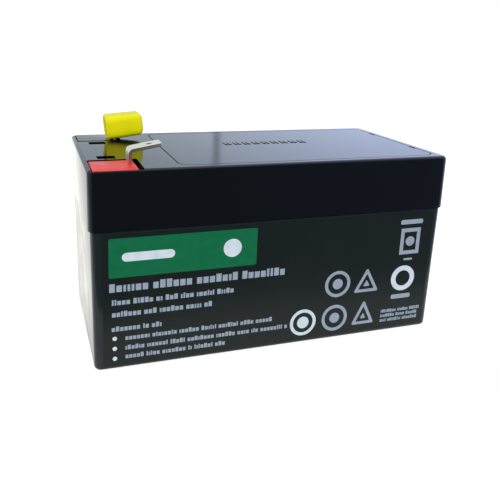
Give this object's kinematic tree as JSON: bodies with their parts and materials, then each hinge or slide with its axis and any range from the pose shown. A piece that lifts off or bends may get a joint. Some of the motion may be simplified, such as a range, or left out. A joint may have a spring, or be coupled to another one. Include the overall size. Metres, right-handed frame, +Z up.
{
  "type": "sealed battery",
  "caption": "Small sealed lead-acid battery: black box case with overlapping lid, blade terminals at one end, one with a yellow cap, and cells of plates and glass mats inside",
  "frame": {"origin": "middle of the case's underside, on the surface it stands on", "axes": "+X along the case from the terminal end to the plain end; +Y from the labelled front to the rear; +Z up"},
  "size_m": [0.097, 0.048, 0.0582],
  "materials": {
    "case": "satin moulded ABS",
    "lid": "glossy moulded ABS",
    "cover": "glossy moulded ABS",
    "red_resin": "cast epoxy, satin",
    "black_resin": "cast epoxy, satin",
    "blade": "tinned brass, bright",
    "seal_rubber": "matt rubber",
    "cap_vinyl": "soft moulded vinyl",
    "label_film": "printed film, satin",
    "positive_paste": "matt lead oxide paste on a lead grid",
    "negative_paste": "dull sponge lead on a lead grid",
    "glass_mat": "absorbent glass fibre mat",
    "lead": "cast lead, dull"
  },
  "bodies": {
    "root": {"container": "case", "lid": "lid", "vent_cover": "cover", "positive_resin": "red_resin", "negative_resin": "black_resin", "positive_blade": "blade", "negative_blade": "blade", "positive_post_seal": "seal_rubber", "negative_post_seal": "seal_rubber", "insulating_cap": "cap_vinyl", "label": "label_film", "valve_cap_1": "seal_rubber", "valve_cap_2": "seal_rubber", "valve_cap_3": "seal_rubber", "valve_cap_4": "seal_rubber", "valve_cap_5": "seal_rubber", "valve_cap_6": "seal_rubber", "cell_1_positive_plates": "positive_paste", "cell_1_negative_plates": "negative_paste", "cell_1_mat_1": "glass_mat", "cell_1_mat_2": "glass_mat", "cell_1_mat_3": "glass_mat", "cell_2_positive_plates": "positive_paste", "cell_2_negative_plates": "negative_paste", "cell_2_mat_1": "glass_mat", "cell_2_mat_2": "glass_mat", "cell_2_mat_3": "glass_mat", "cell_3_positive_plates": "positive_paste", "cell_3_negative_plates": "negative_paste", "cell_3_mat_1": "glass_mat", "cell_3_mat_2": "glass_mat", "cell_3_mat_3": "glass_mat", "cell_4_positive_plates": "positive_paste", "cell_4_negative_plates": "negative_paste", "cell_4_mat_1": "glass_mat", "cell_4_mat_2": "glass_mat", "cell_4_mat_3": "glass_mat", "cell_5_positive_plates": "positive_paste", "cell_5_negative_plates": "negative_paste", "cell_5_mat_1": "glass_mat", "cell_5_mat_2": "glass_mat", "cell_5_mat_3": "glass_mat", "cell_6_positive_plates": "positive_paste", "cell_6_negative_plates": "negative_paste", "cell_6_mat_1": "glass_mat", "cell_6_mat_2": "glass_mat", "cell_6_mat_3": "glass_mat", "cell_bridge_1_2": "lead", "cell_bridge_2_3": "lead", "cell_bridge_3_4": "lead", "cell_bridge_4_5": "lead", "cell_bridge_5_6": "lead"}
  },
  "joints": []
}
